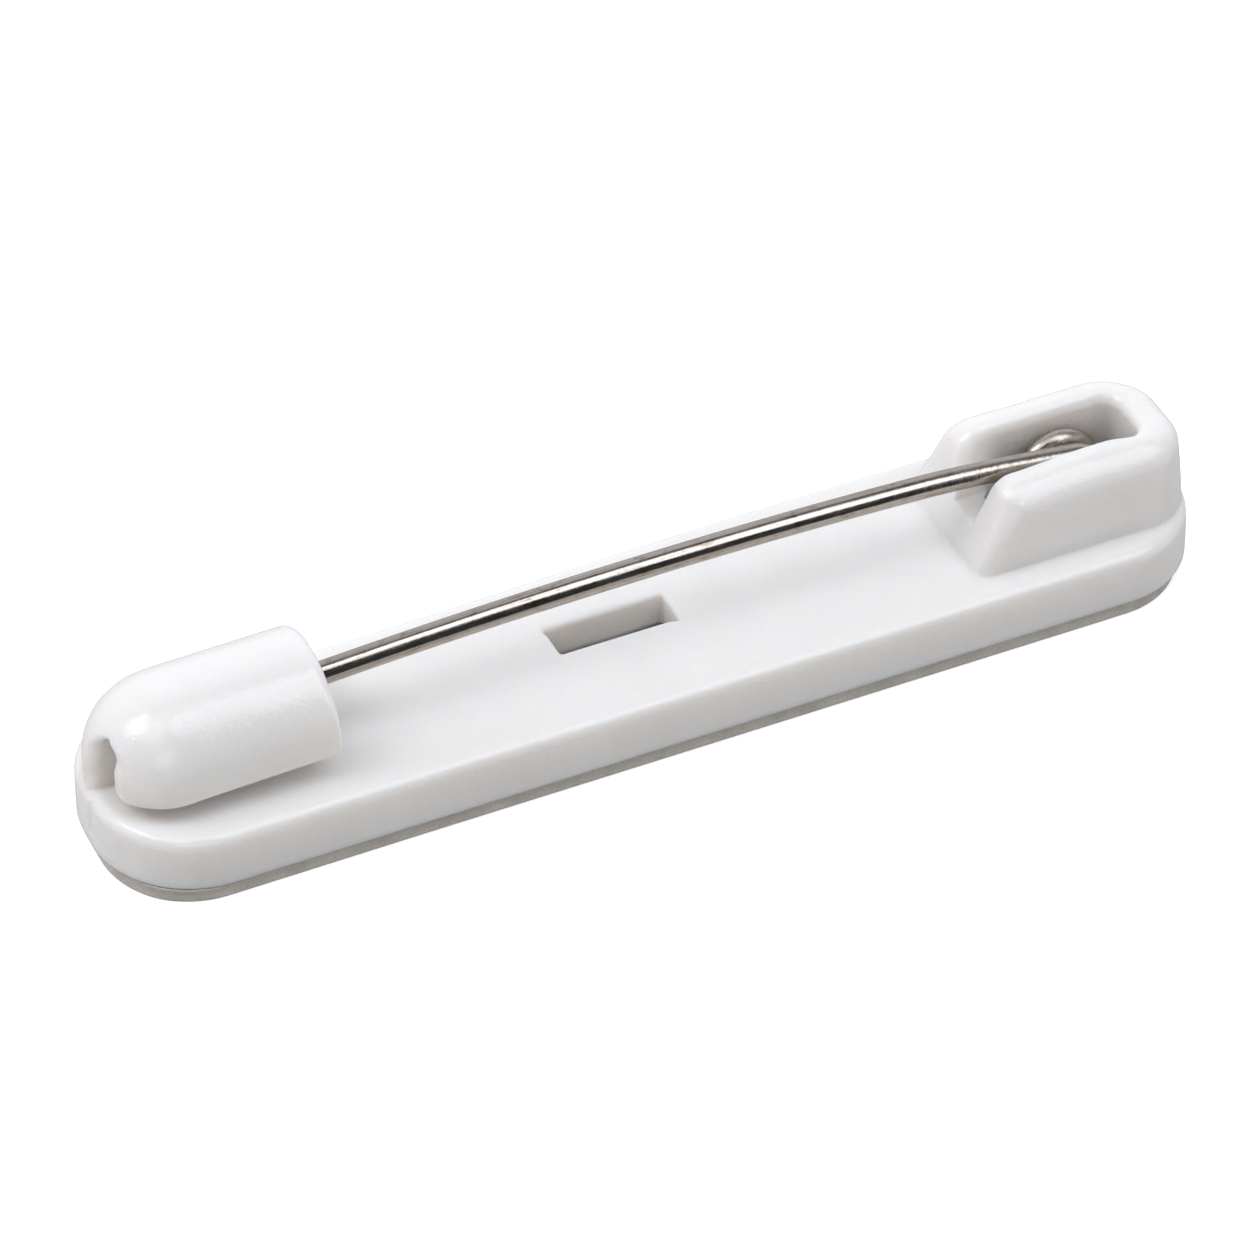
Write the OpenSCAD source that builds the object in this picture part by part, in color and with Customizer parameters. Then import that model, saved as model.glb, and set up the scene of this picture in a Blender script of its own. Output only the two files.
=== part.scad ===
// Pin back: a moulded bar with a catch hood at one end and a coil housing at
// the other, a sprung steel pin whose coil sits on a post in the housing, and
// a thin foam mounting pad under the bar.
// Millimetres. The origin is the centre of the pad's underside, +X points
// towards the coil, +Z up. The hood is open towards -Y.

/* [Bar] */
// Length of the bar
bar_l = 32; // [31:0.25:34]
// Width of the bar
bar_w = 6.35; // [6.2:0.05:7]
// Thickness of the bar
bar_t = 1.6; // [1.5:0.05:2]
// Corner radius of the bar seen from above
bar_corner_r = 2.85; // [2.5:0.05:3.05]
// Radius of the rounded top edge
bar_edge_r = 0.35; // [0.2:0.05:0.45]

/* [Window] */
// Length of the window through the bar
window_l = 3.5; // [2.5:0.1:4.5]
// Width of the window
window_w = 1.06; // [0.8:0.02:1.4]
// Offset of the window from the middle, along the bar
window_x = -0.78; // [-2:0.02:2]
// Offset of the window from the middle, across the bar
window_y = 0.36; // [-0.6:0.02:0.6]
// Height of the wider relief below the window
relief_h = 0.65; // [0.4:0.05:0.8]
// Width that the relief adds on each side of the window
relief_side = 0.4; // [0.2:0.05:0.6]

/* [Coil housing] */
// Width of the housing at its foot
housing_w = 4.4; // [4.2:0.05:4.6]
// Width of the housing at its top
housing_top_w = 3.9; // [3.7:0.05:4.1]
// Height of the housing above the bar
housing_h = 2.42; // [2.3:0.02:2.8]
// Distance from the bar's middle to the foot of the ramp
ramp_x = 8.95; // [8.7:0.05:9.1]
// Slope of the ramp, millimetres along per millimetre up
ramp_run = 0.49; // [0.4:0.01:0.55]
// Distance from the bar's end to the housing's foot
housing_end = 0.2; // [0.15:0.05:0.4]
// Plan radius of the housing's rounded end
housing_end_r = 1.85; // [1.6:0.05:2]
// Radius of the housing's outer edges
housing_edge_r = 0.5; // [0.3:0.05:0.6]
// Width of the pocket for the coil
pocket_w = 1.8; // [1.74:0.02:2]
// Depth of the pocket below the top of the bar
pocket_sink = 0.7; // [0.6:0.02:0.9]
// Wall between the pocket and the housing's end
pocket_end_wall = 1.3; // [1.15:0.05:1.4]
// Height of the notch floor that the pin passes over
notch_h = 0.84; // [0.6:0.02:1]
// Height of the block beside the notch
block_h = 1.25; // [1.1:0.02:1.3]
// Length of the notch floor and block, from the ramp's foot
notch_l = 1.25; // [1.15:0.05:1.35]

/* [Catch hood] */
// Radius of the hood's round roof
hood_r = 2.2; // [2.1:0.02:2.3]
// Height of the roof's axis above the bar at the closed end
hood_axis_h = 0.6; // [0.58:0.01:0.64]
// Upward pitch of the hood towards its open end, degrees
hood_pitch = 2; // [1.5:0.1:2.5]
// Distance from the bar's middle to the hood's open end
hood_open_x = 9.6; // [9.2:0.1:10]
// Gap between the lip and the bar at the closed end
lip_gap = 0.66; // [0.6:0.02:0.72]
// Thickness of the lip
lip_t = 0.75; // [0.6:0.05:0.85]
// Length by which the lip stops short of the bar's end
lip_end = 0.6; // [0.5:0.05:0.7]
// Width of the slit beside the lip's end
slit_w = 0.71; // [0.6:0.02:0.8]
// Height of the slit above the bar
slit_h = 1.95; // [1.8:0.05:2.05]

// Height of the channel that the pin lies in, at the closed end
channel_h = 2.25; // [2.24:0.01:2.3]

/* [Pin] */
// Diameter of the wire
wire_d = 0.65; // [0.6:0.01:0.68]
// Distance of the pin from the bar's centre line, towards the open side
pin_y = 0.4; // [0.38:0.01:0.42]
// Mean radius of the coil
coil_r = 0.95; // [0.92:0.01:0.98]
// Distance from the bar's middle to the coil's axis
coil_x = 12.6; // [12.5:0.05:12.7]
// Height of the coil's axis above the bar
coil_z = 0.755; // [0.72:0.005:0.78]
// Sideways step from one turn of the coil to the next
coil_pitch = 0.72; // [0.7:0.01:0.74]
// Slope of the pin where it leaves the coil, degrees
pin_fall = 7.4; // [7.2:0.1:7.6]
// Straight stretch beside the coil
straight_l = 1.7; // [1.5:0.1:1.9]
// Radius of the bend after the straight stretch
bend_r = 40; // [38:1:42]
// Slope of the pin where the bend ends, degrees
bend_end = 2.464; // [2.3:0.01:2.6]
// Radius of the long bow
bow_r = 164; // [160:1:180]
// Distance from the bar's middle to the point
tip_x = 14.2; // [13.8:0.1:14.4]
// Length of the ground point
point_l = 2.6; // [2:0.1:3]
// Length of the coil's hidden tail
tail_l = 1.2; // [0.8:0.1:1.3]
// Diameter of the post through the coil
post_d = 1.1; // [1.06:0.01:1.12]

/* [Foam pad] */
// Thickness of the pad
pad_t = 0.4; // [0.3:0.05:0.8]
// Distance from the bar's outline to the pad's
pad_inset = 0.1; // [0:0.02:0.3]
// Corner radius of the pad seen from above
pad_corner_r = 2.55; // [2.2:0.05:2.9]
// Bond line between the pad and the bar
bond_gap = 0.02; // [0.01:0.01:0.03]

/* [Hidden] */
$fn = 64;
eps = 0.01;
top_z = pad_t + bar_t;                 // top of the bar
wire_r = wire_d / 2;
steps = 5;                             // facets of the bar's rounded edge
house_end_x = bar_l / 2 - housing_end;
pocket_end_x = house_end_x - pocket_end_wall;
split_y = -pin_y + wire_r + 0.105;     // near face of the hood's back wall

// ---------- bar ----------

// Edge profile of a slab: half-width r, thickness t, top edge rounded by f
function edge_profile(r, t, f) = concat(
    [[0, 0], [r, 0]],
    [for (i = [0:steps]) let (a = 90 * i / steps)
        [r - f + f * cos(a), t - f + f * sin(a)]],
    [[0, t]]);

// Slab with round plan corners and a rounded top edge
module rounded_slab(l, w, t, rc, f) {
    for (sx = [-1, 1], sy = [-1, 1])
        translate([sx * (l / 2 - rc), sy * (w / 2 - rc), 0])
            rotate_extrude() polygon(edge_profile(rc, t, f));
    for (s = [0, 1])
        rotate([0, 0, 180 * s]) {
            // long sides
            translate([-(l / 2 - rc), 0, 0]) rotate([90, 0, 90])
                linear_extrude(height = l - 2 * rc)
                    polygon(edge_profile(w / 2, t, f));
            // ends
            translate([0, w / 2 - rc, 0]) rotate([90, 0, 0])
                linear_extrude(height = w - 2 * rc)
                    polygon(edge_profile(l / 2, t, f));
        }
}

// Flat outline with round corners
module rounded_outline(l, w, rc) {
    square([l, w - 2 * rc], center = true);
    square([l - 2 * rc, w], center = true);
    for (sx = [-1, 1], sy = [-1, 1])
        translate([sx * (l / 2 - rc), sy * (w / 2 - rc)]) circle(r = rc);
}

module window_cut() {
    translate([window_x, window_y, pad_t - 1]) {
        linear_extrude(height = bar_t + 2)
            square([window_l, window_w], center = true);
        linear_extrude(height = 1 + relief_h)
            square([window_l + 2 * relief_side, window_w + 2 * relief_side],
                   center = true);
    }
}

// ---------- coil housing, z = 0 at the top of the bar ----------

module housing_outer() {
    h = housing_h;
    re = housing_edge_r;
    rt = housing_end_r - (housing_w - housing_top_w) / 2;
    end_draft = 0.2;
    // ball under the top front corner, touching the ramp and the top
    front_x = ramp_x + ramp_run * (h - re) + re * sqrt(1 + ramp_run * ramp_run);
    hull() {
        for (s = [-1, 1]) {
            translate([house_end_x - housing_end_r, s * (housing_w / 2 - housing_end_r), -0.3])
                cylinder(r = housing_end_r, h = 0.35, $fn = 40);
            translate([house_end_x - end_draft - rt, s * (housing_top_w / 2 - rt), h - re])
                rotate_extrude($fn = 40) translate([rt - re, 0]) circle(r = re, $fn = 24);
            translate([ramp_x + 0.45, s * (housing_w / 2 - 0.45), -0.3])
                cylinder(r = 0.45, h = 0.3, $fn = 28);
            translate([front_x, s * (housing_top_w / 2 - re), h - re])
                sphere(r = re, $fn = 24);
        }
    }
}

module pocket_cut() {
    w = pocket_w;
    x1 = ramp_x + notch_l;
    r = 0.45;
    up = housing_h + 1;
    // well for the coil
    translate([0, 0, -pocket_sink]) linear_extrude(height = up + pocket_sink) {
        translate([x1, -w / 2]) square([pocket_end_x - r - x1, w]);
        translate([x1, -w / 2 + r]) square([pocket_end_x - x1, w - 2 * r]);
        for (s = [-1, 1])
            translate([pocket_end_x - r, s * (w / 2 - r)]) circle(r = r);
    }
    // notch for the pin, and the wider opening above the block
    translate([ramp_x - 1, -w / 2, notch_h])
        cube([notch_l + 1 + eps, w / 2 + 0.13, up]);
    translate([ramp_x - 1, -w / 2, block_h])
        cube([notch_l + 1 + eps, w, up]);
}

module post() {
    translate([coil_x, 0, coil_z]) rotate([90, 0, 0])
        cylinder(d = post_d, h = pocket_w + 0.6, center = true);
}

// ---------- catch hood, z = 0 at the top of the bar ----------

hood_l = bar_l / 2 - 0.13 - hood_open_x;        // full length of the roof
lip_l = bar_l / 2 - lip_end - hood_open_x;      // length of the lip

// Half behind the pin: solid, with a ball end
module hood_back() {
    xa = -hood_open_x - hood_l + hood_r;
    intersection() {
        union() {
            translate([xa, 0, hood_axis_h]) sphere(r = hood_r);
            translate([xa, 0, hood_axis_h]) rotate([0, 90, 0])
                cylinder(r = hood_r, h = -hood_open_x - xa);
            translate([xa, 0, -0.4]) cylinder(r = hood_r, h = hood_axis_h + 0.4);
            translate([xa, -hood_r, -0.4])
                cube([-hood_open_x - xa, 2 * hood_r, hood_axis_h + 0.4]);
        }
        translate([-bar_l, split_y, -0.4]) cube([bar_l, bar_w, 8]);
    }
}

// Lip that curls over the pin, outer shape
module lip_outer() {
    xe = -hood_open_x - lip_l;
    rp = 1.2;          // plan corner
    rs = 1.6;          // corner seen from the side
    top = hood_axis_h + hood_r;
    intersection() {
        union() {
            translate([xe - 1, 0, hood_axis_h]) rotate([0, 90, 0])
                cylinder(r = hood_r, h = lip_l + 1);
            translate([xe - 1, -hood_r, 0])
                cube([lip_l + 1, 2 * hood_r, hood_axis_h]);
        }
        // plan
        linear_extrude(height = 8) {
            translate([xe + rp, -hood_r]) square([lip_l - rp, hood_r + split_y + eps]);
            translate([xe, -hood_r + rp]) square([lip_l, hood_r - rp + split_y + eps]);
            translate([xe + rp, -hood_r + rp]) circle(r = rp);
        }
        // side
        translate([0, bar_w, 0]) rotate([90, 0, 0]) linear_extrude(height = 2 * bar_w) {
            difference() {
                translate([xe, lip_gap]) square([lip_l, top - lip_gap + 0.1]);
                difference() {
                    translate([xe - eps, top - rs]) square([rs + eps, rs + 1]);
                    translate([xe + rs, top - rs]) circle(r = rs);
                }
            }
        }
    }
}

// Channel that the pin lies in, open below the lip and at both ends
module hood_channel() {
    near = -hood_r + lip_t;
    xi = -hood_open_x - lip_l + lip_t;
    r = 0.7;
    h = channel_h;
    // section across the hood
    translate([xi, 0, 0]) rotate([90, 0, 90]) linear_extrude(height = 12) {
        translate([near, -1]) square([split_y - near, h - r + 1]);
        translate([near + r, -1]) square([split_y - near - r, h + 1]);
        translate([near + r, h - r]) circle(r = r);
    }
    // slit at the closed end
    translate([-bar_l / 2 - 2, 0, 0]) rotate([90, 0, 90]) linear_extrude(height = 4) {
        translate([split_y - slit_w, -1]) square([slit_w, slit_h - slit_w / 2 + 1]);
        translate([split_y - slit_w / 2, slit_h - slit_w / 2]) circle(d = slit_w);
    }
}

module hood() {
    translate([-hood_open_x - lip_l, 0, 0]) rotate([0, -hood_pitch, 0])
        translate([hood_open_x + lip_l, 0, 0]) {
            hood_back();
            difference() {
                lip_outer();
                hood_channel();
            }
        }
}

module bar_moulding() {
    color([0.93, 0.93, 0.94])
    difference() {
        union() {
            translate([0, 0, pad_t])
                rounded_slab(bar_l, bar_w, bar_t, bar_corner_r, bar_edge_r);
            translate([0, 0, top_z]) {
                difference() {
                    housing_outer();
                    pocket_cut();
                }
                hood();
            }
        }
        window_cut();
        // the well goes on below the top of the bar
        translate([0, 0, top_z]) intersection() {
            pocket_cut();
            translate([ramp_x + notch_l, -bar_w / 2, -bar_t]) cube([8, bar_w, bar_t + eps]);
        }
    }
    color([0.93, 0.93, 0.94]) translate([0, 0, top_z]) post();
}

// ---------- pin, coil and tail: one wire ----------

sides = 12;
// joints of the centre line, x and z, z = 0 at the top of the bar
p_tan = [coil_x + coil_r * sin(pin_fall), coil_z + coil_r * cos(pin_fall)];
p_str = p_tan + straight_l * [-cos(pin_fall), sin(pin_fall)];
p_bend = p_str + bend_r * [-(sin(pin_fall) - sin(bend_end)), cos(bend_end) - cos(pin_fall)];
tip_a = asin(sin(bend_end) - (p_bend[0] + tip_x) / bow_r);
function bow_pt(a) = p_bend + bow_r * [-(sin(bend_end) - sin(a)), cos(a) - cos(bend_end)];
function bend_pt(a) = p_str + bend_r * [-(sin(pin_fall) - sin(a)), cos(a) - cos(pin_fall)];
function ease(t) = t <= 0 ? 0 : t >= 1 ? 1 : t * t * (3 - 2 * t);

n_bow = 26;
n_bend = 5;
n_coil = 36;
turn_end = 540;                       // the coil ends at its lowest point
path = concat(
    [for (i = [0:n_bow]) let (p = bow_pt(tip_a + (bend_end - tip_a) * i / n_bow))
        [p[0], -pin_y, p[1]]],
    [for (i = [1:n_bend]) let (p = bend_pt(bend_end + (pin_fall - bend_end) * i / n_bend))
        [p[0], -pin_y, p[1]]],
    [for (i = [0:n_coil]) let (a = pin_fall + (turn_end - pin_fall) * i / n_coil)
        [coil_x + coil_r * sin(a),
         -pin_y + coil_pitch * ease((a - 20) / 330),
         coil_z + coil_r * cos(a)]],
    [[coil_x - tail_l, -pin_y + coil_pitch, coil_z - coil_r]]);
n_path = len(path);

function unit(v) = v / norm(v);
function heading(i) = unit(path[min(i + 1, n_path - 1)] - path[max(i - 1, 0)]);
// radius of the wire, ground to a point at the free end
function wire_radius(i) =
    let (s = path[i][0] + tip_x)
    i > n_bow ? wire_r : s >= point_l ? wire_r
        : 0.04 + (wire_r - 0.04) * sin(90 * max(s, 0) / point_l);
function ring(i) =
    let (t = heading(i), u = unit(cross([0, 1, 0], t)), v = cross(t, u), r = wire_radius(i))
    [for (k = [0:sides - 1]) path[i] + r * (cos(360 * k / sides) * u + sin(360 * k / sides) * v)];

module pin_wire() {
    pts = [for (i = [0:n_path - 1]) each ring(i)];
    faces = concat(
        [[for (k = [sides - 1:-1:0]) k]],
        [for (i = [0:n_path - 2], k = [0:sides - 1])
            let (a = i * sides + k, b = i * sides + (k + 1) % sides)
            each [[a, b, b + sides], [a, b + sides, a + sides]]],
        [[for (k = [0:sides - 1]) (n_path - 1) * sides + k]]);
    color([0.62, 0.6, 0.57]) translate([0, 0, top_z])
        polyhedron(points = pts, faces = faces, convexity = 8);
}

// ---------- pad ----------

module foam_pad() {
    color([0.68, 0.67, 0.62])
        linear_extrude(height = pad_t - bond_gap)
            rounded_outline(bar_l - 2 * pad_inset, bar_w - 2 * pad_inset, pad_corner_r);
}

bar_moulding();
pin_wire();
foam_pad();
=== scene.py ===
import math

import bpy
import numpy as np
from mathutils import Matrix, Vector


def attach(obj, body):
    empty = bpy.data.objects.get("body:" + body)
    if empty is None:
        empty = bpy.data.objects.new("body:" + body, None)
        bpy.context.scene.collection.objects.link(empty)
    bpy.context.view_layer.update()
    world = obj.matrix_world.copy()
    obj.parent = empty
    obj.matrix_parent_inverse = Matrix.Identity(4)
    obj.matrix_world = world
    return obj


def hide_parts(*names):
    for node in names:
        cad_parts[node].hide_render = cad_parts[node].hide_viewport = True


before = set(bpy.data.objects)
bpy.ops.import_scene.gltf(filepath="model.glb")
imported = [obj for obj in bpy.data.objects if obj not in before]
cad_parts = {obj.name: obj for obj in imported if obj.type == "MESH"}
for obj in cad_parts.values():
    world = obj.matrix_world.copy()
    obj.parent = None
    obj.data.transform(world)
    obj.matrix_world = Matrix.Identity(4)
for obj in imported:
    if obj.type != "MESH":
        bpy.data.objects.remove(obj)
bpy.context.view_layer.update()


# ---------------------------------------------------------------- distance field of the moulding
# millimetres, same frame as the CAD; h is the height above the top of the bar
TOP = 2.0


def both(r, *d):
    """Rounded intersection of fields, convex edges of radius r."""
    m = np.maximum.reduce(d)
    s = 0.0
    for k in d:
        s = s + np.maximum(k + r, 0.0) ** 2
    return np.minimum(-r, m) + np.sqrt(s)


def either(r, *d):
    """Rounded union of fields, concave fillets of radius r."""
    return -both(r, *[-k for k in d])


def cut(a, b, r):
    return both(r, a, -b)


def rrect(x, y, hx, hy, r):
    qx, qy = np.abs(x) - hx + r, np.abs(y) - hy + r
    return (np.minimum(np.maximum(qx, qy), 0.0)
            + np.hypot(np.maximum(qx, 0.0), np.maximum(qy, 0.0)) - r)


def smooth(a, b, x):
    t = np.clip((x - a) / (b - a), 0.0, 1.0)
    return t * t * (3 - 2 * t)


def bar_field(x, y, h):
    # the far edge draws in a little towards the hood, as the photo's does
    pull = 0.30 * smooth(5.0, -8.6, x) * smooth(-14.6, -10.6, x) * smooth(0.5, 2.6, y)
    side = rrect(x, y, 16.0, 3.175, 2.85) + pull
    # upright rib line where the hood's wall runs down the end of the bar
    at_end = smooth(-14.9, -15.5, x) * smooth(0.12, -0.02, h) * smooth(-1.45, -1.0, h)
    side = side + at_end * (0.045 * np.exp(-((y + 0.15) / 0.085) ** 2) + 0.022 * smooth(-0.1, -0.3, y))
    side = side + 0.010 * np.clip(h + 1.6, 0.0, 1.6)
    # the near side and the ends curve in a little below the edge
    side = side + 0.062 * (np.clip(h + 1.05, 0.0, 1.05) / 1.05) ** 2 * smooth(1.5, 0.3, y)
    return both(0.05, both(0.32, side, h), -1.6 - h)


def housing_field(x, y, h):
    hc = np.clip(h, -0.3, 2.6)
    xr = 15.78 - 0.083 * hc
    far = smooth(0.2, 1.2, y)
    # the near wall leans back more and more towards the rim
    lean = (0.042 + 0.042 * hc) * hc * (1 - far) + (0.144 + 0.035 * smooth(0.9, 2.2, h)) * hc * far
    wy = 2.27 - 0.02 * far - lean
    # the corner at the near end is a little fuller
    rc = 1.85 - 0.10 * hc - 0.24 * smooth(0.3, -0.3, y)
    plan = rrect(x - xr / 2, y, xr / 2, wy, rc)
    ramp = (8.95 + 0.49 * h - x) / 1.1136
    # the walls' tops fall a little towards the way in, the near one more
    fall = (0.14 * smooth(0.2, -0.4, y) + 0.07 * smooth(0.2, 0.8, y)) * smooth(12.9, 10.2, x)
    front = both(0.36 + 0.14 * far, ramp, h - 2.41 + fall)
    # the near rim is the softest edge, the far one stays even
    near = smooth(0.1, -0.8, y) * smooth(15.2, 13.8, x)
    r = 0.44 - 0.10 * far * smooth(1.1, 1.9, h) * smooth(12.0, 11.0, x) + (0.12 * (1 - far) + 0.20 * near) * smooth(0.9, 2.1, h)
    r = r + 0.17 * far * smooth(1.75, 2.2, h)
    return both(r, plan, front)


def pocket_field(x, y, h):
    wide = 0.90 + 0.02 * np.clip(h, 0, 2.42)
    # the far wall is sloped at the way in and turns upright before the coil
    turn = smooth(10.2, 11.35, x)
    slope = (y - (1 - turn) * (0.13 + 0.655 * (h - 0.84)) - turn * 0.90) / (1.25 - 0.2 * turn)
    # the corner behind the coil has a wide radius
    rc = 0.42 + 0.26 * smooth(-0.1, 0.5, y) * smooth(12.6, 13.4, x)
    well = both(0.14, both(0.26, rrect(x - 12.35, y, 2.15, wide, rc), slope), -0.7 - h)
    notch = both(0.04, both(0.30, slope, y - wide), -(y + 0.93), 0.84 - h, x - 10.7)
    return np.minimum(notch, well)


def hood_field(x, y, h):
    a = np.radians(2.0)
    u = (x + 15.4) * np.cos(a) + h * np.sin(a) - 15.4
    w = -(x + 15.4) * np.sin(a) + h * np.cos(a)
    up = np.maximum(w - 0.6, 0.0)
    # the roof falls a little towards the mouth and towards the ball end
    up = up * (1 + 0.045 * np.clip((u + 14.2) / 4.6, 0, 1) + 0.042 * smooth(-13.2, -14.9, u))
    mouth = x + 9.53
    q1, q2 = -13.69 - u, np.hypot(y, up) - 0.03
    ball = (np.minimum(np.maximum(q1, q2), 0.0)
            + np.hypot(np.maximum(q1, 0.0), np.maximum(q2, 0.0)) - 2.17)
    # the lip in front of the pin ends squarer, on an upright face
    end = -15.40 + 0.12 * np.exp(-((w - 1.58) / 0.30) ** 2) - 0.7 * smooth(-0.66, 0.0, y)
    p1, p2 = end + 1.2 - u, -y - 1.06
    lip = (np.minimum(np.maximum(p1, p2), 0.0)
           + np.hypot(np.maximum(p1, 0.0), np.maximum(p2, 0.0)) - 1.2)
    outer = both(0.15, ball, lip)
    shell = both(0.15 + 0.16 * smooth(1.2, 2.4, w), outer, mouth)
    # what is open: below the lip, the channel round the pin, the slit at the end
    wall = y - 0.03
    under = np.maximum(wall, -both(0.33, mouth, 0.52 - 0.09 * smooth(-13.4, -14.8, u) - w))
    chan = np.maximum(both(0.5, -14.66 - u, -1.45 - y, w - 2.25, outer + 0.5), wall)
    near = -(y + 0.72 - 0.10 * smooth(1.55, 2.0, w))
    slot = both(0.13, near, w - 1.72 - 0.19 * smooth(0.0, -0.36, y) + 0.15 * smooth(-0.36, -0.70, y))
    slot = np.maximum(both(0.26, slot, wall), u + 13.9)
    open_ = np.minimum(np.minimum(under, chan), slot)
    tail = smooth(-14.9, -15.5, u)
    r = (0.09 + (0.36 - 0.20 * smooth(1.2, 1.7, w) - 0.20 * smooth(0.5, 0.0, w)) * tail * smooth(-0.50, -0.05, y)
         + (0.05 + 0.12 * smooth(-13.6, -15.0, u)) * smooth(-0.95, -1.5, y))
    return cut(shell, open_, r)


def body_field(p):
    x, y, h = p[..., 0], p[..., 1], p[..., 2] - TOP
    bar = bar_field(x, y, h)
    house = either(0.06, bar, np.maximum(housing_field(x, y, h), -1.0 - h))
    soft = 0.05 + 0.33 * smooth(0.88, 1.6, h) * np.maximum(smooth(-0.2, 0.3, y), 0.8 * smooth(13.3, 14.3, x))
    d = cut(house, pocket_field(x, y, h), soft)
    post = np.maximum(np.hypot(x - 12.6, h - 0.755) - 0.55, np.abs(y) - 1.2)
    d = either(0.05, d, post)
    hood = np.maximum(hood_field(x, y, h), -0.6 - h)
    d = either(0.04 + 0.13 * smooth(0.3, 0.9, y), d, hood)
    win = rrect(x + 0.78, y - 0.350, 1.75, 0.560, 0.10)
    relief = np.maximum(rrect(x + 0.78, y - 0.36, 2.15, 0.93, 0.15), h + 1.06)
    edge = 0.05 + 0.12 * smooth(-0.5, 0.0, h) * np.maximum(smooth(0.5, 0.9, y), smooth(0.6, 0.95, x))
    return cut(d, np.minimum(win, relief), edge)


# ---------------------------------------------------------------- surface nets on an uneven grid
def spaced(stops):
    """Grid lines from stops [(start, step), ..., (end, None)]."""
    out = []
    for (a, s), (b, _) in zip(stops[:-1], stops[1:]):
        n = max(1, int(round((b - a) / s)))
        out.extend(a + (b - a) * np.arange(n) / n)
    out.append(stops[-1][0])
    return np.array(out)


def surface_nets(field, xs, ys, zs):
    X, Y, Z = np.meshgrid(xs, ys, zs, indexing="ij")
    S = field(np.stack([X, Y, Z], -1))
    del X, Y, Z
    neg = S < 0
    nx, ny, nz = len(xs) - 1, len(ys) - 1, len(zs) - 1
    cells = np.zeros((nx, ny, nz), int)
    for i in (0, 1):
        for j in (0, 1):
            for k in (0, 1):
                cells += neg[i:nx + i, j:ny + j, k:nz + k]
    act = (cells > 0) & (cells < 8)
    idx = np.full(act.shape, -1)
    ci, cj, ck = np.nonzero(act)
    idx[ci, cj, ck] = np.arange(len(ci))
    acc = np.zeros((len(ci), 3))
    cnt = np.zeros(len(ci))
    G = (xs, ys, zs)
    for ax in range(3):
        for a in (0, 1):
            for b in (0, 1):
                o0 = [0, 0, 0]
                o1 = [0, 0, 0]
                other = [q for q in range(3) if q != ax]
                o0[other[0]] = o1[other[0]] = a
                o0[other[1]] = o1[other[1]] = b
                o1[ax] = 1
                s0 = S[ci + o0[0], cj + o0[1], ck + o0[2]]
                s1 = S[ci + o1[0], cj + o1[1], ck + o1[2]]
                m = (s0 < 0) != (s1 < 0)
                t = s0[m] / (s0[m] - s1[m])
                p0 = np.stack([xs[ci + o0[0]], ys[cj + o0[1]], zs[ck + o0[2]]], 1)[m]
                p1 = np.stack([xs[ci + o1[0]], ys[cj + o1[1]], zs[ck + o1[2]]], 1)[m]
                acc[m] += p0 + t[:, None] * (p1 - p0)
                cnt[m] += 1
    V = acc / cnt[:, None]
    lo = np.stack([xs[ci], ys[cj], zs[ck]], 1)
    hi = np.stack([xs[ci + 1], ys[cj + 1], zs[ck + 1]], 1)
    for _ in range(4):
        d, g = gradient(field, V)
        V = V - g * (d / np.maximum((g ** 2).sum(1), 0.2))[:, None]
        pad = 0.15 * (hi - lo)
        V = np.clip(V, lo - pad, hi + pad)
    quads = []
    for ax in range(3):
        other = [q for q in range(3) if q != ax]
        n = [nx + 1, ny + 1, nz + 1]
        sl0 = [slice(1, n[q] - 1) for q in range(3)]
        sl1 = [slice(1, n[q] - 1) for q in range(3)]
        sl0[ax] = slice(0, n[ax] - 1)
        sl1[ax] = slice(1, n[ax])
        a, b = neg[tuple(sl0)], neg[tuple(sl1)]
        I = np.array(np.nonzero(a != b))
        inside_first = a[tuple(I)]
        I = I.T.copy()
        for q in other:
            I[:, q] += 1
        def cell(du, dv):
            c = I.copy()
            c[:, other[0]] -= du
            c[:, other[1]] -= dv
            return idx[c[:, 0], c[:, 1], c[:, 2]]
        q4 = np.stack([cell(1, 1), cell(0, 1), cell(0, 0), cell(1, 0)], 1)
        flip = inside_first if ax != 1 else ~inside_first
        q4[~flip] = q4[~flip][:, ::-1]
        quads.append(q4)
    Q = np.vstack(quads)
    return V, Q


def gradient(field, V, e=0.002):
    d = field(V)
    g = np.empty_like(V)
    for k in range(3):
        o = np.zeros(3)
        o[k] = e
        g[:, k] = (field(V + o) - field(V - o)) / (2 * e)
    return d, g


XS = spaced([(-16.08, 0.056), (-9.40, 0.16), (-8.6, 0.35), (-3.1, 0.06), (1.5, 0.35), (8.5, 0.075), (8.8, 0.056), (16.06, None)])
YS = spaced([(-3.25, 0.056), (3.25, None)])
ZS = spaced([(0.34, 0.06), (0.58, 0.12), (1.508, 0.056), (5.06, None)])


# ---------------------------------------------------------------- mesh helpers
def mesh_object(name, V_mm, F, smooth_shade=True):
    me = bpy.data.meshes.new(name)
    me.from_pydata((np.asarray(V_mm) * 0.001).tolist(), [], [list(map(int, f)) for f in F])
    me.update()
    if smooth_shade:
        me.polygons.foreach_set("use_smooth", [True] * len(me.polygons))
    o = bpy.data.objects.new(name, me)
    bpy.context.scene.collection.objects.link(o)
    return o


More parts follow.
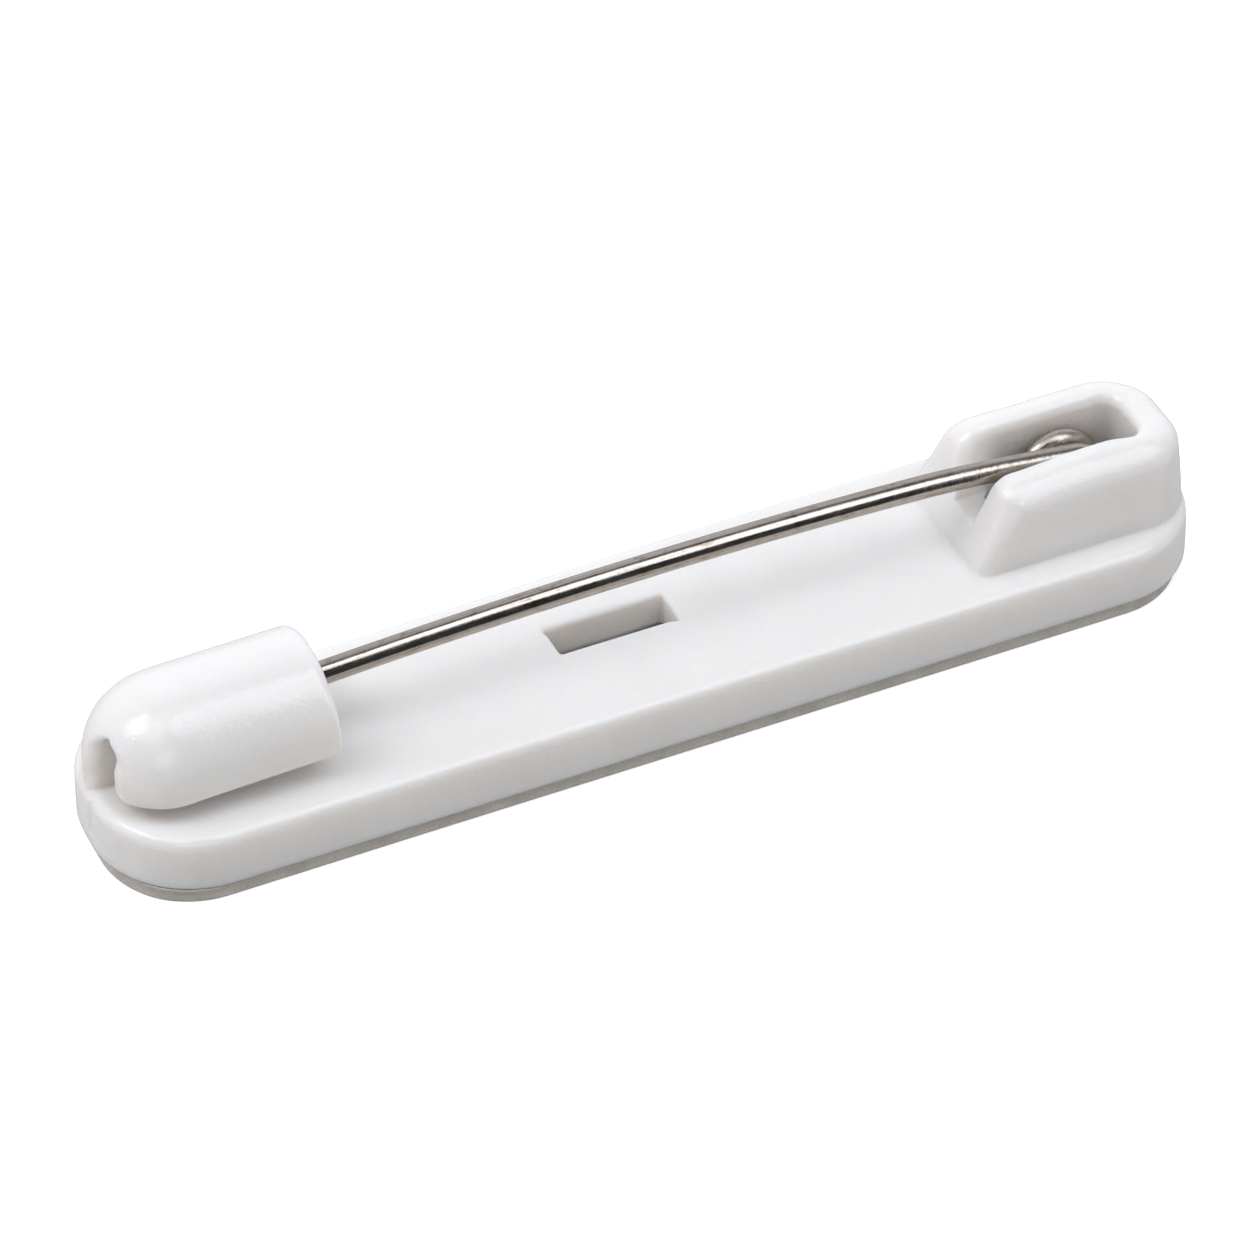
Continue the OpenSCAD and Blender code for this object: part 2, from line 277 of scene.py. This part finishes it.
def fast_mesh(name, V_mm, T):
    """Triangle or quad mesh straight from arrays."""
    n, k = len(T), T.shape[1]
    me = bpy.data.meshes.new(name)
    me.vertices.add(len(V_mm))
    me.vertices.foreach_set("co", (V_mm * 0.001).astype(np.float32).ravel())
    me.loops.add(n * k)
    me.loops.foreach_set("vertex_index", T.astype(np.int32).ravel())
    me.polygons.add(n)
    me.polygons.foreach_set("loop_start", (np.arange(n) * k).astype(np.int32))
    me.polygons.foreach_set("use_smooth", np.ones(n, bool))
    me.update(calc_edges=True)
    me.validate()
    return me


# ---------------------------------------------------------------- the moulding
def build_moulding():
    V, Q = surface_nets(body_field, XS, YS, ZS)
    me = fast_mesh("moulding_dense", V, Q)
    o = bpy.data.objects.new("moulding_dense", me)
    bpy.context.scene.collection.objects.link(o)
    tri = o.modifiers.new("tri", "TRIANGULATE")
    tri.quad_method = "SHORTEST_DIAGONAL"
    dec = o.modifiers.new("dec", "DECIMATE")
    dec.decimate_type = "COLLAPSE"
    dec.ratio = min(1.0, 168000 / (2 * len(Q)))
    dg = bpy.context.evaluated_depsgraph_get()
    ev = o.evaluated_get(dg)
    m2 = bpy.data.meshes.new_from_object(ev)
    bpy.data.objects.remove(o)
    bpy.data.meshes.remove(me)
    n = len(m2.vertices)
    co = np.empty(n * 3, np.float32)
    m2.vertices.foreach_get("co", co)
    P = co.reshape(-1, 3).astype(float) * 1000.0
    # back onto the surface, then normals from the field itself
    for _ in range(2):
        d, g = gradient(body_field, P)
        P = P - np.clip(d, -0.02, 0.02)[:, None] * g / np.maximum((g ** 2).sum(1), 0.3)[:, None]
    P = np.clip(P, [-16.0, -3.175, 0.4], [16.0, 3.175, 5.0])
    m2.vertices.foreach_set("co", (P * 0.001).astype(np.float32).ravel())
    m2.update()
    d, g = gradient(body_field, P, 0.006)
    g = g / np.linalg.norm(g, axis=1, keepdims=True)
    m2.polygons.foreach_set("use_smooth", [True] * len(m2.polygons))
    m2.normals_split_custom_set_from_vertices(g.tolist())
    m2.name = "moulding"
    o = bpy.data.objects.new("moulding", m2)
    bpy.context.scene.collection.objects.link(o)
    return o


# ---------------------------------------------------------------- the wire
COIL_X, COIL_Z, COIL_R, WIRE_R, PIN_Y = 12.6, 0.755, 0.95, 0.325, 0.4
FALL, BEND_END = math.radians(7.4), math.radians(2.464)
BEND_R, BOW_R, STRAIGHT, TIP_X, POINT_L = 40.0, 164.0, 1.7, 14.2, 2.6
PITCH, TAIL = 0.72, 1.2


def wire_path():
    p_tan = np.array([COIL_X + COIL_R * math.sin(FALL), COIL_Z + COIL_R * math.cos(FALL)])
    p_str = p_tan + STRAIGHT * np.array([-math.cos(FALL), math.sin(FALL)])
    p_bend = p_str + BEND_R * np.array([-(math.sin(FALL) - math.sin(BEND_END)),
                                        math.cos(BEND_END) - math.cos(FALL)])
    tip = math.asin(math.sin(BEND_END) - (p_bend[0] + TIP_X) / BOW_R)
    # closer rings at the ground point
    t = np.concatenate([np.linspace(0, 0.11, 26)[:-1], np.linspace(0.11, 1, 90)])
    a = tip + (BEND_END - tip) * t
    bow = np.stack([p_bend[0] - BOW_R * (math.sin(BEND_END) - np.sin(a)), 0 * a - PIN_Y,
                    p_bend[1] + BOW_R * (np.cos(a) - math.cos(BEND_END))], 1)
    a = np.linspace(BEND_END, FALL, 16)[1:]
    bend = np.stack([p_str[0] - BEND_R * (math.sin(FALL) - np.sin(a)), 0 * a - PIN_Y,
                     p_str[1] + BEND_R * (np.cos(a) - math.cos(FALL))], 1)
    a = np.linspace(FALL, 3 * math.pi, 170)
    e = smooth(20, 350, np.degrees(a))
    coil = np.stack([COIL_X + COIL_R * np.sin(a), -PIN_Y + PITCH * e,
                     COIL_Z + COIL_R * np.cos(a)], 1)
    tail = np.stack([COIL_X - np.linspace(0, TAIL, 10)[1:], np.full(9, -PIN_Y + PITCH),
                     np.full(9, COIL_Z - COIL_R)], 1)
    P = np.vstack([bow, bend, coil, tail])
    P[:, 2] += TOP
    s = np.maximum(P[:len(bow), 0] + TIP_X, 0)
    r = np.full(len(P), WIRE_R)
    g = s < POINT_L
    r[:len(bow)][g] = 0.035 + (WIRE_R - 0.035) * np.sin(np.pi / 2 * s[g] / POINT_L)
    return P, r


def build_wire():
    P, R = wire_path()
    n, k = len(P), 40
    T = np.gradient(P, axis=0)
    T /= np.linalg.norm(T, axis=1, keepdims=True)
    U = np.cross(np.array([0.0, 1.0, 0.0]), T)
    U /= np.linalg.norm(U, axis=1, keepdims=True)
    W = np.cross(T, U)
    f = 2 * np.pi * np.arange(k) / k
    # the drawn wire is made a touch thinner than its nominal radius
    sc = R * 0.9985
    V = (P[:, None] + sc[:, None, None] * (np.cos(f)[None, :, None] * U[:, None]
                                           + np.sin(f)[None, :, None] * W[:, None]))
    V = V.reshape(-1, 3)
    faces = []
    for i in range(n - 1):
        for j in range(k):
            a, b = i * k + j, i * k + (j + 1) % k
            faces.append((a, b, b + k, a + k))
    # rounded ends: the point, and the cut end of the tail with a small chamfer
    tip_i = len(V)
    V = np.vstack([V, P[0] - T[0] * 0.03])
    for j in range(k):
        faces.append((j, tip_i, (j + 1) % k))
    ring0 = (n - 1) * k
    inner = P[-1] + T[-1] * 0.0 + 0 * T[-1]
    c0 = len(V)
    ring = inner + (WIRE_R * 0.86) * (np.cos(f)[:, None] * U[-1] + np.sin(f)[:, None] * W[-1])
    V[ring0:ring0 + k] -= T[-1] * 0.05
    V = np.vstack([V, ring, P[-1]])
    for j in range(k):
        a, b = ring0 + j, ring0 + (j + 1) % k
        faces.append((a, b, c0 + (j + 1) % k, c0 + j))
        faces.append((c0 + j, c0 + (j + 1) % k, c0 + k))
    o = mesh_object("pin", V, faces)
    # distance along the wire and angle round it, for the draw lines in the material
    arc = np.concatenate([[0], np.cumsum(np.linalg.norm(np.diff(P, axis=0), axis=1))])
    return o, arc


# ---------------------------------------------------------------- the foam pad
def build_pad():
    """Thin foam slab, 0.38 mm thick, with soft edges and a slightly wavy die-cut side."""
    L, Wd, rc, t = 15.93, 3.145, 2.60, 0.38
    n_arc, n_long, n_end = 26, 150, 8
    pts = []

    def arc(cx, cy, a0):
        for a in np.linspace(a0, a0 + np.pi / 2, n_arc, endpoint=False):
            pts.append((cx + rc * np.cos(a), cy + rc * np.sin(a), np.cos(a), np.sin(a)))

    def line(x0, y0, x1, y1, nx, ny, n):
        for s in np.linspace(0, 1, n, endpoint=False):
            pts.append((x0 + (x1 - x0) * s, y0 + (y1 - y0) * s, nx, ny))

    arc(L - rc, Wd - rc, 0.0)
    line(L - rc, Wd, -(L - rc), Wd, 0, 1, n_long)
    arc(-(L - rc), Wd - rc, np.pi / 2)
    line(-L, Wd - rc, -L, -(Wd - rc), -1, 0, n_end)
    arc(-(L - rc), -(Wd - rc), np.pi)
    line(-(L - rc), -Wd, L - rc, -Wd, 0, -1, n_long)
    arc(L - rc, -(Wd - rc), 3 * np.pi / 2)
    line(L, -(Wd - rc), L, Wd - rc, 1, 0, n_end)
    P = np.array(pts)
    n = len(P)
    s = np.concatenate([[0], np.cumsum(np.hypot(*np.diff(P[:, :2], axis=0).T))])
    rng = np.random.default_rng(7)
    ph = rng.uniform(0, 2 * np.pi, (6, 14))
    total = s[-1] + 0.1

    def wave(row):
        w = np.zeros(n)
        for k in range(14):
            f = 11 + 9 * k
            w += np.sin(2 * np.pi * f * s / total + ph[row, k]) / 14
        return w

    # side profile: (inset, height, waviness)
    prof = [(0.045, 0.0, 0), (0.015, 0.015, 0.2), (0.008, 0.06, 1), (0.022, 0.13, 1), (0.028, 0.20, 1),
            (0.020, 0.27, 1), (0.010, 0.34, 1), (0.012, 0.374, 0.4), (0.03, 0.395, 0)]
    V, faces = [], []
    for i, (ins, z, wv) in enumerate(prof):
        off = ins + 0.010 * wv * (1 + wave(i % 6))
        X = P[:, 0] - P[:, 2] * off
        Y = P[:, 1] - P[:, 3] * off
        # cut a little short at the coil's end, a little full at the hood's
        X = X - 0.25 * smooth(9.0, 15.9, X) + 0.05 * smooth(-14.9, -15.9, X)
        Y = Y * (1 + np.where(Y < 0, 0.005, 0.0) * smooth(-7.0, -13.0, X) - 0.012 * smooth(12.0, 15.5, X))
        V += list(zip(X, Y, np.full(n, z)))
    m = len(prof)
    for i in range(m - 1):
        for j in range(n):
            a, b = i * n + j, i * n + (j + 1) % n
            faces.append((a, b, b + n, a + n))
    faces.append(tuple(range(n - 1, -1, -1)))
    faces.append(tuple((m - 1) * n + j for j in range(n)))
    o = mesh_object("pad", V, faces)
    for p in o.data.polygons[-2:]:
        p.use_smooth = False
    return o


# ---------------------------------------------------------------- materials
class Nodes:
    def __init__(self, name):
        self.mat = bpy.data.materials.new(name)
        self.mat.use_nodes = True
        self.t = self.mat.node_tree
        self.t.nodes.clear()
        self.out = self.t.nodes.new("ShaderNodeOutputMaterial")
        self.p = self.t.nodes.new("ShaderNodeBsdfPrincipled")
        self.link(self.p.outputs[0], self.out.inputs[0])
        self.tc = self.t.nodes.new("ShaderNodeTexCoord")

    def link(self, a, b):
        self.t.links.new(a, b)

    def new(self, kind, **kw):
        n = self.t.nodes.new(kind)
        for k, v in kw.items():
            setattr(n, k, v)
        return n

    def obj(self, scale=(1, 1, 1), rot=(0, 0, 0)):
        m = self.new("ShaderNodeMapping")
        m.inputs["Scale"].default_value = scale
        m.inputs["Rotation"].default_value = rot
        self.link(self.tc.outputs["Object"], m.inputs["Vector"])
        return m.outputs[0]

    def noise(self, vec, scale, detail=3, rough=0.55, distort=0.0):
        n = self.new("ShaderNodeTexNoise")
        n.inputs["Scale"].default_value = scale
        n.inputs["Detail"].default_value = detail
        n.inputs["Roughness"].default_value = rough
        n.inputs["Distortion"].default_value = distort
        self.link(vec, n.inputs["Vector"])
        return n.outputs["Fac"]

    def ramp(self, fac, stops):
        r = self.new("ShaderNodeValToRGB")
        e = r.color_ramp.elements
        while len(e) < len(stops):
            e.new(0.5)
        for k, (pos, col) in zip(e, stops):
            k.position = pos
            k.color = (*col, 1) if len(col) == 3 else col
        self.link(fac, r.inputs["Fac"])
        return r.outputs["Color"]

    def span(self, fac, lo, hi, a=0.0, b=1.0):
        m = self.new("ShaderNodeMapRange")
        for k, v in zip(("From Min", "From Max", "To Min", "To Max"), (lo, hi, a, b)):
            m.inputs[k].default_value = v
        self.link(fac, m.inputs["Value"])
        return m.outputs[0]

    def mix(self, fac, a, b, mode="MIX"):
        m = self.new("ShaderNodeMix", data_type="RGBA", blend_type=mode)
        for sock, v in ((m.inputs["Factor"], fac), (m.inputs[6], a), (m.inputs[7], b)):
            if isinstance(v, (int, float)):
                sock.default_value = v
            elif isinstance(v, tuple):
                sock.default_value = (*v, 1)
            else:
                self.link(v, sock)
        return m.outputs[2]

    def math(self, op, a, b):
        m = self.new("ShaderNodeMath", operation=op)
        for sock, v in zip(m.inputs, (a, b)):
            if isinstance(v, (int, float)):
                sock.default_value = v
            else:
                self.link(v, sock)
        return m.outputs[0]

    def bump(self, height, strength, distance, normal=None):
        b = self.new("ShaderNodeBump")
        b.inputs["Strength"].default_value = strength
        b.inputs["Distance"].default_value = distance
        self.link(height, b.inputs["Height"])
        if normal is not None:
            self.link(normal, b.inputs["Normal"])
        return b.outputs[0]


def white_plastic():
    k = Nodes("white_plastic")
    v = k.obj((1000, 1000, 1000))            # millimetres
    cloud = k.noise(v, 0.55, 3, 0.5, 0.6)    # slow flow clouding of the melt
    speck = k.noise(v, 9.0, 2, 0.6)
    base = k.ramp(cloud, [(0.3, (0.836, 0.812, 0.782)), (0.5, (0.848, 0.826, 0.798)), (0.72, (0.860, 0.840, 0.814))])
    fine = k.ramp(speck, [(0.35, (0.984, 0.983, 0.981)), (0.6, (1, 1, 1))])
    col = k.mix(1.0, base, fine, "MULTIPLY")
    # painted shade: the colour darkens to a warm brown deep in the pocket round the coil, standing in for the shade
    # there
    xyz = k.new("ShaderNodeSeparateXYZ")
    k.link(v, xyz.inputs[0])
    deep = k.span(k.math("ADD", xyz.outputs["Z"], k.span(speck, 0.3, 0.7, -0.15, 0.15)), 3.82, 2.78)
    along = k.math("MINIMUM", k.span(xyz.outputs["X"], 10.6, 12.6), k.span(xyz.outputs["X"], 14.6, 13.3))
    across = k.math("MINIMUM", k.span(xyz.outputs["Y"], 1.35, 1.10), k.span(xyz.outputs["Y"], -1.35, -1.10))
    painted_pocket_shade = k.math("MULTIPLY", deep, k.math("MULTIPLY", along, across))
    # painted shade: warm brown mixed in where the pocket is deepest
    col = k.mix(painted_pocket_shade, col, (0.40, 0.335, 0.275))
    k.link(col, k.p.inputs["Base Color"])
    r1 = k.span(k.noise(v, 5.0, 3, 0.6), 0.3, 0.7, 0.10, 0.165)
    k.link(r1, k.p.inputs["Roughness"])
    k.p.inputs["IOR"].default_value = 1.5
    k.p.inputs["Specular IOR Level"].default_value = 0.5
    k.p.inputs["Subsurface Weight"].default_value = 0.8
    k.p.inputs["Subsurface Radius"].default_value = (1.0, 0.84, 0.66)
    k.p.inputs["Subsurface Scale"].default_value = 0.0006
    orange = k.noise(v, 4.5, 2, 0.5)
    grain = k.noise(v, 9.0, 2, 0.5)
    n = k.bump(orange, 0.6, 0.000013)
    n = k.bump(grain, 0.6, 0.000011, n)
    k.link(n, k.p.inputs["Normal"])
    return k.mat


def steel_wire():
    k = Nodes("steel_wire")
    at = k.new("ShaderNodeAttribute", attribute_name="draw")
    m = k.new("ShaderNodeMapping")
    m.inputs["Scale"].default_value = (0.35, 14.0, 14.0)
    k.link(at.outputs["Vector"], m.inputs["Vector"])
    streak = k.noise(m.outputs[0], 1.0, 4, 0.6)
    m2 = k.new("ShaderNodeMapping")
    m2.inputs["Scale"].default_value = (2.2, 5.0, 5.0)
    k.link(at.outputs["Vector"], m2.inputs["Vector"])
    mott = k.noise(m2.outputs[0], 1.0, 4, 0.65, 0.4)
    # short scratches round the wire, thickest where it runs over the housing's sill
    m3 = k.new("ShaderNodeMapping")
    m3.inputs["Scale"].default_value = (9.0, 1.4, 1.4)
    k.link(at.outputs["Vector"], m3.inputs["Vector"])
    ring = k.noise(m3.outputs[0], 1.0, 3, 0.6, 0.15)
    xyz = k.new("ShaderNodeSeparateXYZ")
    k.link(at.outputs["Vector"], xyz.inputs[0])
    near = k.math("MINIMUM", k.span(xyz.outputs["X"], 21.5, 24.0), k.span(xyz.outputs["X"], 28.0, 26.0))
    worn = k.math("MULTIPLY", k.span(near, 0, 1, 0.12, 1.0), ring)
    col = k.ramp(streak, [(0.25, (0.30, 0.262, 0.228)), (0.5, (0.40, 0.357, 0.318)), (0.75, (0.47, 0.428, 0.388))])
    stain = k.ramp(mott, [(0.30, (0.70, 0.64, 0.57)), (0.48, (1, 1, 1))])
    col = k.mix(1.0, col, stain, "MULTIPLY")
    k.link(col, k.p.inputs["Base Color"])
    k.p.inputs["Metallic"].default_value = 1.0
    coil = k.span(xyz.outputs["X"], 26.5, 28.5)          # bent part, rougher
    rough = k.math("ADD", k.span(mott, 0.3, 0.75, 0.10, 0.24), k.span(near, 0, 1, 0.0, 0.045))
    k.link(k.math("ADD", rough, k.math("MULTIPLY", coil, k.span(mott, 0.35, 0.65, 0.02, 0.12))), k.p.inputs["Roughness"])
    n = k.bump(streak, 0.55, 0.0000022)
    n = k.bump(mott, 0.5, 0.0000045, n)
    n = k.bump(worn, 0.8, 0.0000110, n)
    n = k.bump(k.math("MULTIPLY", coil, mott), 0.8, 0.0000160, n)
    k.link(n, k.p.inputs["Normal"])
    return k.mat


def foam():
    k = Nodes("foam")
    v = k.obj((1000, 1000, 1000))
    cells = k.new("ShaderNodeTexVoronoi")
    cells.inputs["Scale"].default_value = 11.0
    k.link(v, cells.inputs["Vector"])
    c = cells.outputs["Distance"]
    tone = k.noise(v, 1.3, 4, 0.6)
    base = k.ramp(tone, [(0.3, (0.46, 0.428, 0.380)), (0.7, (0.575, 0.542, 0.490))])
    pore = k.ramp(c, [(0.05, (0.82, 0.80, 0.77)), (0.45, (1, 1, 1))])
    k.link(k.mix(1.0, base, pore, "MULTIPLY"), k.p.inputs["Base Color"])
    k.link(k.span(k.noise(v, 8.0, 2, 0.5), 0.3, 0.7, 0.72, 0.92), k.p.inputs["Roughness"])
    n = k.bump(c, 0.6, 0.000020)
    k.link(n, k.p.inputs["Normal"])
    return k.mat


def assign(o, mat):
    o.data.materials.clear()
    o.data.materials.append(mat)


moulding = build_moulding()
assign(moulding, white_plastic())
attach(moulding, "bar")
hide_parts("bar_moulding")

pin, arc = build_wire()
ring = 40
f = 2 * np.pi * np.arange(ring) / ring
draw = np.zeros((len(pin.data.vertices), 3), np.float32)
rows = np.stack([np.repeat(arc, ring), np.tile(np.cos(f) * 0.325, len(arc)), np.tile(np.sin(f) * 0.325, len(arc))], 1)
draw[:len(rows)] = rows
draw[len(rows)] = (-0.1, 0, 0)
draw[len(rows) + 1:len(rows) + 1 + ring] = rows[-ring:] + [0.1, 0, 0]
draw[-1] = (arc[-1] + 0.2, 0, 0)
at = pin.data.attributes.new("draw", "FLOAT_VECTOR", "POINT")
at.data.foreach_set("vector", draw.ravel())
assign(pin, steel_wire())
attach(pin, "pin")
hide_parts("pin_wire")

pad = build_pad()
assign(pad, foam())
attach(pad, "bar")
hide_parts("foam_pad")


# ---------------------------------------------------------------- floor, light and camera
def floor():
    k = Nodes("floor")
    v = k.obj((1, 1, 1))
    col = k.ramp(k.noise(v, 30.0, 2, 0.5), [(0.3, (0.92, 0.92, 0.92)), (0.7, (0.935, 0.935, 0.935))])
    k.link(col, k.p.inputs["Base Color"])
    k.p.inputs["Roughness"].default_value = 0.9
    k.p.inputs["Specular IOR Level"].default_value = 0.1
    k.p.inputs["Emission Color"].default_value = (1, 1, 1, 1)
    k.p.inputs["Emission Strength"].default_value = 0.42
    me = bpy.data.meshes.new("floor")
    s = 3.0
    me.from_pydata([(-s, -s, -0.00001), (s, -s, -0.00001), (s, s, -0.00001), (-s, s, -0.00001)], [], [(0, 1, 2, 3)])
    o = bpy.data.objects.new("floor", me)
    bpy.context.scene.collection.objects.link(o)
    assign(o, k.mat)
    # only a backdrop, as on a light table: it takes the shadow, and neither blocks
    # the light from below nor throws any back on the part
    o.visible_diffuse = False
    o.visible_glossy = False
    o.visible_shadow = False
    return o


def area(name, az, el, dist, sx, sy, watts, col=(1, 1, 1)):
    """Rectangular soft light; az from -Y towards +X."""
    a, e = math.radians(az), math.radians(el)
    d = Vector((math.sin(a) * math.cos(e), -math.cos(a) * math.cos(e), math.sin(e)))
    lt = bpy.data.lights.new(name, "AREA")
    lt.shape = "RECTANGLE"
    lt.size, lt.size_y = sx, sy
    lt.energy = watts
    lt.color = col
    o = bpy.data.objects.new(name, lt)
    o.location = d * dist
    o.rotation_mode = "QUATERNION"
    o.rotation_quaternion = (-d).to_track_quat("-Z", "Y")
    bpy.context.scene.collection.objects.link(o)
    return o


floor()
# soft boxes: the key, its smaller helpers over the hood's end, and low fills from both ends
for name, az, el, sx, sy, watts, col in (
        ("key", 44, 59, 0.22, 0.34, 0.725, (0.88, 0.93, 1.0)),
        ("top", -40, 84, 0.20, 0.20, 0.185, (0.87, 0.93, 1.0)),
        ("left", -65, 62, 0.20, 0.20, 0.255, (0.93, 0.94, 1.0)),
        ("spark", -104, 52, 0.172, 0.172, 0.475, (0.92, 0.94, 1.0)),
        ("end_l", -95, 22, 0.34, 0.24, 0.125, (0.96, 0.96, 1.0)),
        ("near", -25, 32, 0.16, 0.16, 0.140, (0.97, 0.95, 0.95)),
        ("fill_r", 60, 12, 0.44, 0.30, 0.205, (0.96, 0.96, 1.0)),
        ("fill_rt", 60, 36, 0.44, 0.30, 0.095, (0.96, 0.96, 1.0)),
        ("under_l", -60, -30, 0.44, 0.34, 0.310, (0.96, 0.96, 1.0)),
        ("under_r", 55, -30, 0.44, 0.34, 0.165, (0.96, 0.96, 1.0))):
    area(name, az, el, 0.42, sx, sy, watts, col)

# the room round the part, by the angle about the bar's long axis: 0 is the horizon on the
# near side, 90 straight up, 180 the far horizon, 270 straight down
def room(stops):
    world = bpy.data.worlds.new("world")
    bpy.context.scene.world = world
    world.use_nodes = True
    wt = world.node_tree
    wt.nodes.clear()
    out = wt.nodes.new("ShaderNodeOutputWorld")
    bg = wt.nodes.new("ShaderNodeBackground")
    tc = wt.nodes.new("ShaderNodeTexCoord")
    xyz = wt.nodes.new("ShaderNodeSeparateXYZ")
    neg = wt.nodes.new("ShaderNodeMath")
    neg.operation = "MULTIPLY"
    neg.inputs[1].default_value = -1.0
    at = wt.nodes.new("ShaderNodeMath")
    at.operation = "ARCTAN2"
    turn = wt.nodes.new("ShaderNodeMapRange")
    turn.inputs["From Min"].default_value = -math.pi
    turn.inputs["From Max"].default_value = math.pi
    ramp = wt.nodes.new("ShaderNodeValToRGB")
    wt.links.new(tc.outputs["Generated"], xyz.inputs[0])
    wt.links.new(xyz.outputs["Y"], neg.inputs[0])
    wt.links.new(xyz.outputs["Z"], at.inputs[0])
    wt.links.new(neg.outputs[0], at.inputs[1])
    wt.links.new(at.outputs[0], turn.inputs["Value"])
    wt.links.new(turn.outputs[0], ramp.inputs["Fac"])
    wt.links.new(ramp.outputs["Color"], bg.inputs["Color"])
    wt.links.new(bg.outputs[0], out.inputs[0])
    st = sorted((((ang + 180) % 360) / 360, col) for ang, col in stops)
    e = ramp.color_ramp.elements
    while len(e) < len(st):
        e.new(0.5)
    for k, (pos, col) in zip(e, st):
        k.position = pos
        k.color = (*col, 1)
    return bg


far, low, under, ground, gap, dark = ((0.90, 0.92, 0.99), (0.60, 0.59, 0.57), (0.50, 0.51, 0.53),
                                      (0.17, 0.165, 0.16), (0.056, 0.060, 0.068), (0.0, 0.0, 0.0))
beyond, over = (0.74, 0.71, 0.67), (0.26, 0.26, 0.26)
room([(-179.9, low), (-136, low), (-132, under), (-90, under), (-86, ground), (-44, ground), (-38, beyond), (-18, beyond),
      (-13, gap), (40, gap), (44, dark), (86, dark), (90, over), (112, over), (117, far), (179.9, far)])

sc = bpy.context.scene
sc.view_settings.view_transform = "Standard"
sc.view_settings.look = "None"
sc.view_settings.exposure = 0.0

# camera: azimuth, elevation, distance (mm), where the frame's origin lands (px), px per mm there
AZ, EL, DIST, CX, CY, PPM = -24.97, 41.03, 172.0, 643.2, 668.1, 37.17
SIZE = 1254.0
a, e = math.radians(AZ), math.radians(EL)
back = Vector((math.sin(a) * math.cos(e), -math.cos(a) * math.cos(e), math.sin(e)))
right = Vector((math.cos(a), math.sin(a), 0))
up = back.cross(right)
flen = PPM * DIST
ox, oy = (CX - SIZE / 2) / flen * DIST, -(CY - SIZE / 2) / flen * DIST
place = back * DIST - right * ox - up * oy + Vector((0, 0, 0.4))
cam_data = bpy.data.cameras.new("camera")
cam_data.sensor_width = 36.0
cam_data.sensor_fit = "HORIZONTAL"
cam_data.lens = flen / SIZE * 36.0
cam_data.clip_start, cam_data.clip_end = 0.005, 20.0
cam = bpy.data.objects.new("camera", cam_data)
m = Matrix((right, up, back)).transposed().to_4x4()
m.translation = place * 0.001
cam.matrix_world = m
sc.collection.objects.link(cam)
sc.camera = cam
